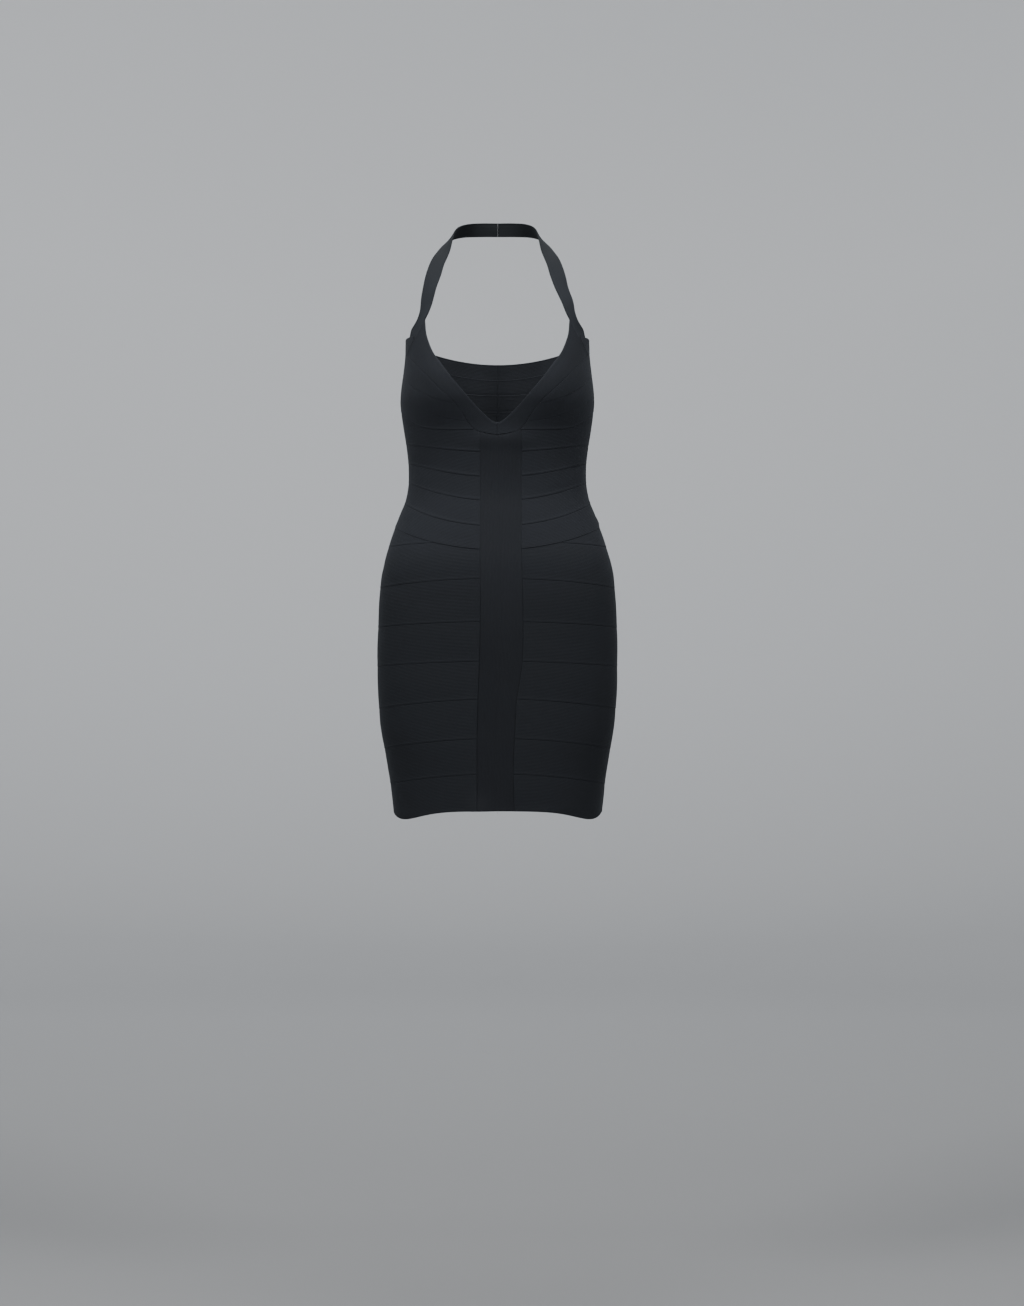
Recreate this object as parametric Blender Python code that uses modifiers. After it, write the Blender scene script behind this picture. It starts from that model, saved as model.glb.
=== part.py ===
"""A black halter bandage dress, filled out as it is worn, with no wearer.

The dress is sewn from narrow knitted bands. Each band is its own closed solid: an open grid laid on
the dress's form, then given the cloth's wall outwards with Solidify. The form is a stack of rounded
sections, the seams are lines around it, and neighbouring bands stop half a seam gap short of a seam.

The frame: metres, +Z up, the front faces -Y, and +X is the wearer's left. The origin is at the back
of the neck, in the middle of the strap's inner face, where the wearer holds the dress up.
Sizes below are in millimetres, and angles in degrees, until a point is made.
"""
import math

import bmesh
import bpy
from mathutils import Vector

MM = 0.001

# The cloth.
WALL = 1.5
SEAM_GAP = 0.3
UNDERLAP = 1.7

# How far the middle of the torso lies in front of the back of the neck.
TORSO_FORWARD = 58.0

# The cups stand out from the chest around this distance from the middle of the front, and they are
# gone at the sides, where the cosine of the angle falls below this one.
BUST_APART = 78.0
BUST_SPREAD = 46.0
BUST_FADE = 0.5

# The form: one row for each section, from above the cups to below the hem.
# half_width, front and back are the reach of the section from the middle of the torso,
# square is its roundness (2 is an ellipse), and cup is how far the cups stand out there.
SECTION_COLUMNS = ("z", "half_width", "front", "back", "square", "cup")
SECTIONS = (
    (-110.0, 122.0, 80.0, 84.0, 2.20, 0.0),
    (-140.0, 124.0, 88.0, 88.0, 2.20, 4.0),
    (-165.0, 125.0, 93.0, 91.0, 2.20, 9.0),
    (-190.0, 126.0, 97.0, 93.0, 2.20, 14.0),
    (-218.0, 129.5, 100.0, 93.0, 2.20, 17.0),
    (-244.0, 132.0, 100.0, 91.0, 2.20, 15.0),
    (-262.0, 130.5, 97.0, 88.0, 2.20, 10.0),
    (-285.0, 127.0, 92.0, 83.0, 2.15, 4.0),
    (-324.0, 121.6, 86.0, 74.0, 2.10, 0.0),
    (-352.0, 120.6, 83.0, 70.0, 2.10, 0.0),
    (-378.0, 124.0, 83.0, 74.0, 2.10, 0.0),
    (-406.0, 134.5, 87.0, 85.0, 2.10, 0.0),
    (-435.0, 145.0, 91.0, 96.0, 2.15, 0.0),
    (-462.0, 153.0, 94.0, 104.0, 2.20, 0.0),
    (-490.0, 158.7, 95.0, 109.0, 2.20, 0.0),
    (-545.0, 162.4, 95.0, 112.0, 2.20, 0.0),
    (-600.0, 163.6, 94.0, 109.0, 2.20, 0.0),
    (-645.0, 162.6, 93.0, 104.0, 2.20, 0.0),
    (-683.0, 160.0, 92.0, 99.0, 2.20, 0.0),
    (-711.0, 156.0, 91.5, 95.0, 2.20, 0.0),
    (-738.0, 151.0, 90.5, 92.0, 2.15, 0.0),
    (-766.0, 146.4, 89.5, 89.0, 2.15, 0.0),
    (-794.0, 142.8, 88.5, 86.5, 2.15, 0.0),
    (-825.0, 140.6, 87.5, 85.0, 2.15, 0.0),
)

# The seams around the body: their height at the middle of the front, at the side and at the middle
# of the back, and how late they leave the front's height on their way to the side.
SEAM_COLUMNS = ("front", "side", "back", "lateness")
SEAMS = {
    "cup_upper": (-258.5, -210.5, -229.0, 3.0),
    "cup_lower": (-279.0, -240.3, -252.0, 3.0),
    "underbust": (-289.5, -259.0, -276.0, 7.0),
    "bodice_1": (-319.5, -305.0, -305.0, 2.0),
    "bodice_2": (-353.0, -330.5, -330.5, 2.0),
    "bodice_3": (-385.5, -357.5, -357.5, 2.0),
    "bodice_4": (-420.0, -386.0, -386.0, 2.0),
    "waist": (-451.8, -418.8, -418.8, 2.0),
    "yoke": (-440.0, -446.0, -446.0, 2.0),
    "skirt_1": (-490.5, -502.0, -502.0, 2.0),
    "skirt_2": (-548.6, -556.0, -556.0, 2.0),
    "skirt_3": (-602.0, -609.5, -609.5, 2.0),
    "skirt_4": (-653.0, -667.5, -667.5, 2.0),
    "skirt_5": (-706.0, -722.0, -722.0, 2.0),
    "skirt_6": (-754.0, -770.0, -770.0, 2.0),
    "hem": (-804.5, -810.0, -810.0, 2.0),
}

# The hem hangs this much lower between the front and the sides, most where the square of the
# angle's sine is SAG_PEAK, at 60 degrees.
HEM_SAG = 9.0
SAG_PEAK = 0.75

# The bands that go from the front panel round the side to the middle of the back, top to bottom.
BANDS = (
    ("midriff_band", "underbust", "bodice_1"),
    ("midriff_band_2", "bodice_1", "bodice_2"),
    ("waist_band", "bodice_2", "bodice_3"),
    ("waist_band_2", "bodice_3", "bodice_4"),
    ("waist_band_3", "bodice_4", "waist"),
    ("hip_band", "top_of_skirt", "skirt_1"),
    ("hip_band_2", "skirt_1", "skirt_2"),
    ("hip_band_3", "skirt_2", "skirt_3"),
    ("thigh_band", "skirt_3", "skirt_4"),
    ("thigh_band_2", "skirt_4", "skirt_5"),
    ("thigh_band_3", "skirt_5", "skirt_6"),
    ("hem_band", "skirt_6", "hem"),
)

# The cup's upper band, whose top follows the neck band's curve, keeps this much more clear of it.
CUP_SEAM_EASE = 0.6

# The underarm band stays this far above the cup's steep outer edge.
CUP_EDGE_CLEAR = 2.2

# The two neck bands meet on the middle front in a small rounded tab below the underbust seam.
TAB_DROP = 8.0
TAB_HALF_WIDTH = 31.0

# The front panel's edges and its middle seam, as it wanders a little on its way down.
PANEL_COLUMNS = ("z", "right_edge", "middle", "left_edge")
PANEL = (
    (-280.0, -23.0, 1.0, 33.0),
    (-450.0, -22.8, 4.0, 33.0),
    (-549.0, -22.8, 5.5, 35.0),
    (-602.0, -24.0, 4.5, 34.0),
    (-628.0, -25.0, 3.0, 30.7),
    (-653.0, -26.0, 0.5, 26.5),
    (-706.0, -27.2, -2.0, 23.6),
    (-754.0, -27.2, -3.0, 21.8),
    (-815.0, -27.0, -2.5, 23.5),
)

# The neck band of each cup: its neckline edge and its lower seam, from the strap to the middle.
NECK_COLUMNS = ("neck_x", "neck_z", "seam_x", "seam_z")
NECK_BAND = (
    (97.4, -139.5, 122.0, -184.0),
    (96.2, -155.0, 117.0, -189.5),
    (93.0, -168.0, 110.0, -198.0),
    (85.5, -186.0, 101.0, -209.0),
    (73.5, -203.5, 89.5, -222.0),
    (59.3, -223.0, 75.5, -236.0),
    (43.5, -241.5, 60.0, -250.5),
    (28.5, -258.5, 46.0, -268.0),
    (14.5, -272.0, 31.0, -288.8),
    (5.5, -278.8, 15.0, -294.2),
    (0.0, -280.2, 0.0, -296.6),
)

# The strap's two edges, from the back of the neck down to the armhole. Rows with no y lie on the
# chest, just under the wall of the neck band, and the last of them under the underarm band's end.
STRAP_COLUMNS = ("inner_x", "inner_y", "inner_z", "outer_x", "outer_y", "outer_z")
STRAP = (
    (0.0, -1.2, 9.5, 0.0, 1.2, -9.5),
    (22.0, -5.0, 9.0, 24.5, -2.0, -10.0),
    (41.0, -17.0, 5.5, 47.0, -11.5, -12.5),
    (53.5, -36.0, -3.5, 61.5, -27.0, -18.5),
    (58.5, -54.6, -20.0, 72.5, -46.0, -29.0),
    (61.8, -70.2, -37.0, 80.3, -62.0, -40.0),
    (65.8, -81.4, -49.4, 86.3, -74.0, -49.8),
    (70.1, -91.0, -61.0, 90.8, -82.5, -60.5),
    (74.1, -100.6, -76.4, 95.5, -92.0, -76.4),
    (79.9, -109.3, -93.5, 98.8, -97.5, -93.5),
    (85.9, -113.8, -110.5, 102.9, -101.0, -110.0),
    (93.8, None, -126.0, 107.4, None, -125.0),
    (99.8, None, -138.0, 111.0, None, -135.8),
    (104.5, None, -150.5, 115.4, None, -142.8),
    (111.0, None, -162.5, 119.8, None, -149.5),
    (117.5, None, -173.0, 123.2, None, -163.5),
)

# The underarm band's front end, just past the end of the strap, and its two edges.
UNDERARM_START_TURN = 60.0
UNDERARM_START_TOP_X = 113.4
UNDERARM_START_LOW_X = 112.6
UNDERARM_TOP_SIDE = -160.0
UNDERARM_TOP_BACK = -185.0
UNDERARM_LOW_SIDE = -179.0
UNDERARM_LOW_BACK = -207.0

# A band that runs out to a point, at the hip wedge or the cup, is cut off where it is this tall. The
# place is looked for in small steps of the angle.
BAND_TIP = 1.5
TIP_FROM = 15.0
TIP_STEP = 0.25

# Strips around the body have their columns at these angles, closer together on the middle front, so
# that neighbours share the points of their seam. One this near to a strip's end is left out.
FRONT_COLUMNS = (9.0, 13.5, 18.0, 22.5, 27.0)
SIDE_COLUMNS = tuple(range(36, 180, 9))
COLUMN_CLEAR = 2.0

# Where a seam meets an edge, the meeting point is found by going back and forth this often.
ROUNDS = 12
ROUND_SHARE = 0.6

# The upright seams' gaps are worked out at this height, and the panel's ends at this angle.
GAP_HEIGHT = -300.0
PANEL_TURN = 5.0

# The strap hangs this far towards the wearer's right, fully so between these shares of its length.
STRAP_DRIFT = -2.5
DRIFT_FROM = 0.25
DRIFT_TO = 0.58
DRIFT_FADE = 0.13

# How finely the other pieces are divided, along and across.
NECK_STEPS = (20, 2)
STRAP_STEPS = (28, 2)
PANEL_STEPS = (2, 28)

LEFT = 1
RIGHT = -1
SIDE_NAMES = {LEFT: "left", RIGHT: "right"}
SIDE_SEAM = 90.0
BACK_SEAM = 180.0

KNIT_COLOUR = (0.016, 0.018, 0.022, 1.0)
PANEL_COLOUR = (0.013, 0.015, 0.018, 1.0)
STRAP_COLOUR = (0.020, 0.023, 0.027, 1.0)
KNIT_ROUGHNESS = 0.85
SHARP_ANGLE = 40.0


# ---------------------------------------------------------------- curves through the tables

def smooth_value(keys, values, key):
    """Read a smooth curve through (keys, values), with keys rising."""
    last = len(keys) - 1
    if key <= keys[0]:
        return values[0]
    if key >= keys[last]:
        return values[last]
    i = max(j for j in range(last) if keys[j] <= key)
    span = keys[i + 1] - keys[i]
    step = (key - keys[i]) / span
    here = slope(keys, values, i) * span
    there = slope(keys, values, i + 1) * span
    a = (2 * step ** 3 - 3 * step ** 2 + 1) * values[i]
    b = (step ** 3 - 2 * step ** 2 + step) * here
    c = (3 * step ** 2 - 2 * step ** 3) * values[i + 1]
    d = (step ** 3 - step ** 2) * there
    return a + b + c + d


def slope(keys, values, i):
    """The curve's slope at one of its points: that of the line between its neighbours."""
    before = max(i - 1, 0)
    after = min(i + 1, len(keys) - 1)
    return (values[after] - values[before]) / (keys[after] - keys[before])


def column(table, columns, name):
    """One named column of a table."""
    place = columns.index(name)
    return [row[place] for row in table]


def at_height(table, columns, name, z):
    """A column's smooth value at height z, for a table that runs downwards."""
    keys = [-height for height in column(table, columns, "z")]
    return smooth_value(keys, column(table, columns, name), -z)


# ---------------------------------------------------------------- the form

def smooth_step(x):
    """0 below 0, 1 above 1, with a smooth rise between."""
    x = min(max(x, 0.0), 1.0)
    return x * x * (3 - 2 * x)


def form_point(turn, z):
    """The inner face of the cloth, at an angle from the middle front (+ towards +X) and a height."""
    sine = math.sin(math.radians(turn))
    cosine = math.cos(math.radians(turn))
    square = at_height(SECTIONS, SECTION_COLUMNS, "square", z)
    blow = (abs(sine) ** square + abs(cosine) ** square) ** (-1 / square)
    x = at_height(SECTIONS, SECTION_COLUMNS, "half_width", z) * blow * sine
    reach = at_height(SECTIONS, SECTION_COLUMNS, "front" if cosine > 0 else "back", z)
    cup = at_height(SECTIONS, SECTION_COLUMNS, "cup", z) * smooth_step(cosine / BUST_FADE)
    swell = cup * math.exp(-((abs(x) - BUST_APART) / BUST_SPREAD) ** 2)
    return Vector((x, -TORSO_FORWARD - reach * blow * cosine - swell, z))


def form_normal(turn, z):
    """The direction out of the cloth at a point of the form."""
    across = form_point(turn + 0.5, z) - form_point(turn - 0.5, z)
    up = form_point(turn, z + 1.0) - form_point(turn, z - 1.0)
    return across.cross(up).normalized()


def turn_at(x, z):
    """The angle on the front, from 0 to 90 degrees, where the form is x from the middle."""
    low, high = 0.0, 90.0
    for _ in range(30):
        middle = (low + high) / 2
        if form_point(middle, z).x < x:
            low = middle
        else:
            high = middle
    return (low + high) / 2


def chest_point(x, z, lift=0.0):
    """The point of the front that is x from the middle at height z, lifted out of the form."""
    turn = turn_at(x, z)
    return form_point(turn, z) + lift * form_normal(turn, z)


# ---------------------------------------------------------------- the seam lines

def seam_line(name, turn):
    """The height of a seam at an angle from the middle front."""
    if name == "top_of_skirt":
        return min(seam_line("waist", turn), seam_line("yoke", turn))
    row = dict(zip(SEAM_COLUMNS, SEAMS[name]))
    sine = abs(math.sin(math.radians(turn)))
    if abs(turn) >= SIDE_SEAM:
        return row["back"] + (row["side"] - row["back"]) * sine ** 2
    z = row["front"] + (row["side"] - row["front"]) * sine ** row["lateness"]
    if name == "underbust":
        z -= tab(form_point(turn, z).x)
    if name == "hem":
        z -= HEM_SAG * sine ** 6 * (1 - sine ** 2) / (SAG_PEAK ** 3 * (1 - SAG_PEAK))
    return z


def tab(x):
    """How far the neck bands' tab reaches below the underbust seam."""
    return TAB_DROP * max(0.0, 1 - (x / TAB_HALF_WIDTH) ** 2)


def cup_seam_x(z):
    """How far from the middle the neck band's lower seam runs, at a height."""
    heights = [-value for value in column(NECK_BAND, NECK_COLUMNS, "seam_z")]
    return smooth_value(heights, column(NECK_BAND, NECK_COLUMNS, "seam_x"), -z)


def cup_seam_z(x):
    """The height of the neck band's lower seam, at a distance from the middle."""
    places = column(NECK_BAND, NECK_COLUMNS, "seam_x")[::-1]
    return smooth_value(places, column(NECK_BAND, NECK_COLUMNS, "seam_z")[::-1], x)


def underarm_top(turn):
    """The open edge under the arm and across the back."""
    if turn < SIDE_SEAM:
        return UNDERARM_TOP_SIDE
    fall = math.cos(math.radians(turn)) ** 2
    return UNDERARM_TOP_SIDE + (UNDERARM_TOP_BACK - UNDERARM_TOP_SIDE) * fall


def cup_tip():
    """The neck band's outer row, and the angle at which its lower corner lies."""
    tip = dict(zip(NECK_COLUMNS, NECK_BAND[0]))
    return tip, turn_at(tip["seam_x"], tip["seam_z"])


def underarm_low(turn):
    """The underarm band's lower seam: along the cup's outer edge, then round to the back."""
    tip, cup_end = cup_tip()
    if turn < cup_end:
        steepness = (tip["seam_z"] - tip["neck_z"]) / (tip["seam_x"] - tip["neck_x"])
        z = tip["seam_z"]
        for _ in range(ROUNDS):
            z = tip["neck_z"] + steepness * (form_point(turn, z).x - tip["neck_x"])
        return z + CUP_EDGE_CLEAR
    if turn < SIDE_SEAM:
        rise = smooth_step((turn - cup_end) / (SIDE_SEAM - cup_end))
        return tip["seam_z"] + (UNDERARM_LOW_SIDE - tip["seam_z"]) * rise
    fall = math.cos(math.radians(turn)) ** 2
    return UNDERARM_LOW_SIDE + (UNDERARM_LOW_BACK - UNDERARM_LOW_SIDE) * fall


# ---------------------------------------------------------------- making a piece of cloth

def mix(a, b, share):
    """The value a share of the way from a to b."""
    return a + (b - a) * share


def half_gap(turn):
    """Half a seam gap, as an angle there."""
    speed = (form_point(turn + 0.5, GAP_HEIGHT) - form_point(turn - 0.5, GAP_HEIGHT)).length
    return SEAM_GAP / 2 / speed


def cloth_piece(name, place, steps, material, side=LEFT):
    """A closed piece of cloth: a grid laid where place(u, v) says, with its wall added outwards.

    u runs from the front to the back and v upwards. The right side is the left one mirrored.
    """
    mesh = bpy.data.meshes.new(name)
    grid = bmesh.new()
    bmesh.ops.create_grid(grid, x_segments=steps[0], y_segments=steps[1], size=1.0)
    for vertex in grid.verts:
        u = (vertex.co.x + 1) / 2
        v = (vertex.co.y + 1) / 2
        if side == RIGHT:
            u = 1 - u
        point = place(u, v)
        vertex.co = Vector((point.x * side, point.y, point.z)) * MM
    grid.to_mesh(mesh)
    grid.free()
    mesh.shade_smooth()
    mesh.set_sharp_from_angle(angle=math.radians(SHARP_ANGLE))
    piece = bpy.data.objects.new(name, mesh)
    mesh.materials.append(material)
    wall = piece.modifiers.new("wall", "SOLIDIFY")
    wall.thickness = WALL * MM
    wall.offset = 1.0
    wall.use_even_offset = True
    return piece


def strip_piece(name, low, high, start, end, rows, material, side):
    """A strip of cloth around the body, between two seam lines and from one angle to another.

    start and end give an angle for a share of the strip's height, because its ends may slant.
    """
    first = max(start(low, high, v) for v in (0, 0.5, 1)) + COLUMN_CLEAR
    last = end(low, high, 0) - COLUMN_CLEAR
    turns = [turn for turn in FRONT_COLUMNS + SIDE_COLUMNS if first < turn < last]
    columns = len(turns) + 1

    def place(u, v):
        i = round(u * columns)
        if i == 0:
            turn = start(low, high, v)
        elif i == columns:
            turn = end(low, high, v)
        else:
            turn = turns[i - 1]
        bottom = low(turn) + SEAM_GAP / 2
        top = high(turn) - SEAM_GAP / 2
        return form_point(turn, mix(bottom, top, v))
    return cloth_piece(name, place, (columns, rows), material, side)


def at_angle(turn):
    """A straight upright edge of a strip."""
    return lambda low, high, v: turn


def at_panel(side):
    """The edge of a band along the front panel."""
    name = "left_edge" if side == LEFT else "right_edge"

    def edge(low, high, v):
        turn = TIP_FROM
        for _ in range(ROUNDS):
            z = mix(low(turn), high(turn), v)
            x = abs(at_height(PANEL, PANEL_COLUMNS, name, z)) + SEAM_GAP / 2
            turn = turn_at(x, z)
        return turn
    return edge


def at_cup_seam(low, high, v):
    """The edge of a cup's band along the neck band."""
    turn = TIP_FROM
    for _ in range(ROUNDS):
        z = mix(low(turn), high(turn), v)
        turn = turn_at(max(cup_seam_x(z), TAB_HALF_WIDTH) + SEAM_GAP, z)
    return turn


def tip_turn(low, high):
    """The angle where two seams that start from one point are first a tip's height apart."""
    turn = TIP_FROM
    while high(turn) - low(turn) < BAND_TIP:
        turn += TIP_STEP
    return turn


def line(name):
    """A seam as a function of the angle."""
    return lambda turn: seam_line(name, turn)


# ---------------------------------------------------------------- the pieces

def make_bands(side, knit):
    """The bands from the front panel round the side to the middle of the back."""
    end = at_angle(BACK_SEAM - half_gap(BACK_SEAM))
    pieces = []
    for name, high, low in BANDS:
        pieces.append(strip_piece(f"{name}_{SIDE_NAMES[side]}", line(low), line(high),
                                  at_panel(side), end, 2, knit, side))
    return pieces


def make_yoke(side, knit):
    """The wedge at the hip, between the bodice's slanting edge and the first level skirt seam."""
    low, high = line("yoke"), line("waist")
    tip = tip_turn(low, high)
    end = at_angle(BACK_SEAM - half_gap(BACK_SEAM))
    return strip_piece(f"hip_wedge_{SIDE_NAMES[side]}", low, high, at_angle(tip), end, 1, knit, side)


def make_neck_band(side, knit):
    """The cup's band along the neckline, from the strap down to the middle front."""
    shares = [i / (len(NECK_BAND) - 1) for i in range(len(NECK_BAND))]

    def place(u, v):
        row = {name: smooth_value(shares, column(NECK_BAND, NECK_COLUMNS, name), 1 - u)
               for name in NECK_COLUMNS}
        x = mix(row["seam_x"], row["neck_x"], v)
        z = mix(row["seam_z"], row["neck_z"], v)
        return chest_point(x + SEAM_GAP / 2, z)
    return cloth_piece(f"neck_band_{SIDE_NAMES[side]}", place, NECK_STEPS, knit, side)


def make_cup_bands(side, knit):
    """The cup's three bands below the neck band, from its seam to the side seam."""
    def cup_top(turn):
        if turn > cup_tip()[1]:
            return underarm_low(turn)
        z = UNDERARM_LOW_SIDE
        for _ in range(ROUNDS):
            z = mix(z, cup_seam_z(form_point(turn, z).x), ROUND_SHARE)
        return z - CUP_SEAM_EASE

    upper, lower, under = line("cup_upper"), line("cup_lower"), line("underbust")
    tip = tip_turn(upper, cup_top)
    end = at_angle(SIDE_SEAM - half_gap(SIDE_SEAM))
    rows = (
        ("cup_upper_band", upper, cup_top, at_angle(tip)),
        ("cup_middle_band", lower, upper, at_cup_seam),
        ("cup_lower_band", under, lower, at_cup_seam),
    )
    return [strip_piece(f"{name}_{SIDE_NAMES[side]}", low, high, start, end, 2, knit, side)
            for name, low, high, start in rows]


def make_underarm_band(side, knit):
    """The top band: from the end of the strap, under the arm and across the back."""
    def start(low, high, v):
        x = mix(UNDERARM_START_LOW_X, UNDERARM_START_TOP_X, v)
        bottom = underarm_low(UNDERARM_START_TURN)
        top = underarm_top(UNDERARM_START_TURN)
        return turn_at(x, mix(bottom, top, v))
    end = at_angle(BACK_SEAM - half_gap(BACK_SEAM))
    return strip_piece(f"underarm_band_{SIDE_NAMES[side]}", underarm_low, underarm_top, start, end,
                       2, knit, side)


def make_back_bands(side, knit):
    """The back's three bands that meet the cup's at the side seam."""
    rows = (
        ("back_upper_band", line("cup_upper"), underarm_low),
        ("back_middle_band", line("cup_lower"), line("cup_upper")),
        ("back_lower_band", line("underbust"), line("cup_lower")),
    )
    start = at_angle(SIDE_SEAM + half_gap(SIDE_SEAM))
    end = at_angle(BACK_SEAM - half_gap(BACK_SEAM))
    return [strip_piece(f"{name}_{SIDE_NAMES[side]}", low, high, start, end, 1, knit, side)
            for name, low, high in rows]


def make_strap(side, knit):
    """Half the halter strap: from the seam behind the neck, down the chest, to the armhole."""
    under = -WALL - UNDERLAP
    rails = []
    for row in STRAP:
        row = dict(zip(STRAP_COLUMNS, row))
        ends = []
        for edge in ("inner", "outer"):
            x, y, z = (row[f"{edge}_{axis}"] for axis in "xyz")
            ends.append(chest_point(x, z, under) if y is None else Vector((x, y, z)))
        rails.append(ends)
    rails[0][0].x = rails[0][1].x = SEAM_GAP / 2
    shares = [i / (len(rails) - 1) for i in range(len(rails))]

    def place(u, v):
        ends = [Vector([smooth_value(shares, [rail[edge][axis] for rail in rails], u)
                        for axis in range(3)]) for edge in (0, 1)]
        point = ends[0].lerp(ends[1], v)
        swing = smooth_step(u / DRIFT_FROM) * smooth_step((DRIFT_TO + DRIFT_FADE - u) / DRIFT_FADE)
        point.x += side * STRAP_DRIFT * swing
        return point
    return cloth_piece(f"halter_strap_{SIDE_NAMES[side]}", place, STRAP_STEPS, knit, side)


def make_panel_strip(side, knit):
    """Half the front panel: one upright band from the neck bands' tab down to the hem."""
    name = "left_edge" if side == LEFT else "right_edge"

    def place(u, v):
        z = mix(seam_line("hem", PANEL_TURN), seam_line("underbust", PANEL_TURN), v)
        for _ in range(ROUNDS):
            outer = abs(at_height(PANEL, PANEL_COLUMNS, name, z)) - SEAM_GAP / 2
            inner = side * at_height(PANEL, PANEL_COLUMNS, "middle", z) + SEAM_GAP / 2
            x = mix(inner, outer, u)
            turn = math.copysign(turn_at(abs(x), z), x)
            bottom = seam_line("hem", turn) + SEAM_GAP / 2
            top = seam_line("underbust", turn) - SEAM_GAP / 2
            z = mix(bottom, top, v)
        return form_point(turn, z)
    return cloth_piece(f"front_panel_{SIDE_NAMES[side]}", place, PANEL_STEPS, knit, side)


# ---------------------------------------------------------------- the materials and the dress

def knit_material(name, colour):
    """A plain matt knit."""
    material = bpy.data.materials.new(name)
    material.use_nodes = True
    shader = material.node_tree.nodes["Principled BSDF"]
    shader.inputs["Base Color"].default_value = colour
    shader.inputs["Roughness"].default_value = KNIT_ROUGHNESS
    shader.inputs["Metallic"].default_value = 0.0
    material.diffuse_color = colour
    return material


def make_dress():
    """The whole dress, in a collection of its own."""
    for old in list(bpy.data.objects):
        bpy.data.objects.remove(old)
    collection = bpy.data.collections.new("bodycon_dress")
    bpy.context.scene.collection.children.link(collection)
    band = knit_material("band_knit", KNIT_COLOUR)
    panel = knit_material("panel_knit", PANEL_COLOUR)
    strap = knit_material("strap_knit", STRAP_COLOUR)
    pieces = []
    for side in (LEFT, RIGHT):
        pieces.append(make_strap(side, strap))
        pieces.append(make_neck_band(side, band))
        pieces += make_cup_bands(side, band)
        pieces.append(make_underarm_band(side, band))
        pieces += make_back_bands(side, band)
        pieces += make_bands(side, band)
        pieces.append(make_yoke(side, band))
        pieces.append(make_panel_strip(side, panel))
    for piece in pieces:
        collection.objects.link(piece)


make_dress()
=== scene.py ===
"""The looks of a black halter bandage dress, filled out as it is worn, with no wearer.

The sections follow the dress as it is sewn: the bands round the body, the cups, the underarm band,
the back, the front panel, the halter strap and the stitches, and then the studio around it.
Sizes are in millimetres and angles in degrees until a mesh is made. A turn is the angle around the
body from the middle of the front, and + is the wearer's left, at +X.
"""
import math

import bmesh
import bpy
import numpy as np
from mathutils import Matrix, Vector


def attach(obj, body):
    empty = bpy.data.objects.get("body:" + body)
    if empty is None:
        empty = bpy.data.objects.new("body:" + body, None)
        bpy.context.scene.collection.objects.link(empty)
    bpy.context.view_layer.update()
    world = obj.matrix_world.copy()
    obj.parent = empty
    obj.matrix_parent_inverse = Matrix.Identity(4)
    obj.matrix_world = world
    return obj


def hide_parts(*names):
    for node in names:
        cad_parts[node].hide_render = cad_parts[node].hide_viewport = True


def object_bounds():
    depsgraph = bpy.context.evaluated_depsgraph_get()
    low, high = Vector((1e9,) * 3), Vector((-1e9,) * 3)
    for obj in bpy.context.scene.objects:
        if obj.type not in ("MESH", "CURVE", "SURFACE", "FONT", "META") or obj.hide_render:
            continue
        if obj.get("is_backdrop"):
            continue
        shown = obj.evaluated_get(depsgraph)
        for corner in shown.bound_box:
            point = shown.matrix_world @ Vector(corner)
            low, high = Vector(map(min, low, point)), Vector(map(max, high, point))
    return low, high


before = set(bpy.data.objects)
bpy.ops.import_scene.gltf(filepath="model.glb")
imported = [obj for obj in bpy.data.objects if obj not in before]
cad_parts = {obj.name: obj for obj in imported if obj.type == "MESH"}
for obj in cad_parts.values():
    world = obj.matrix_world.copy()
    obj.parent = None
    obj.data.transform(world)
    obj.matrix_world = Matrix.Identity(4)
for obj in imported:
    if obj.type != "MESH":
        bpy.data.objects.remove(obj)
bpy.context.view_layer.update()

# ==================================================================== the bands round the body
# Twelve knitted bands on each side go from the front panel round to the middle of the back. The
# knit is a heavy matt rib, stretched tight. Each band's rolled lower edge lies over the next one.

MM = 0.001
WALL = 1.5
TORSO_FORWARD = 58.0
BUST_APART = 78.0
BUST_SPREAD = 46.0
BUST_FADE = 0.5
LEFT, RIGHT = 1, -1
SIDE_NAMES = {LEFT: "left", RIGHT: "right"}
SIDE_SEAM, BACK_SEAM = 90.0, 180.0

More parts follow.
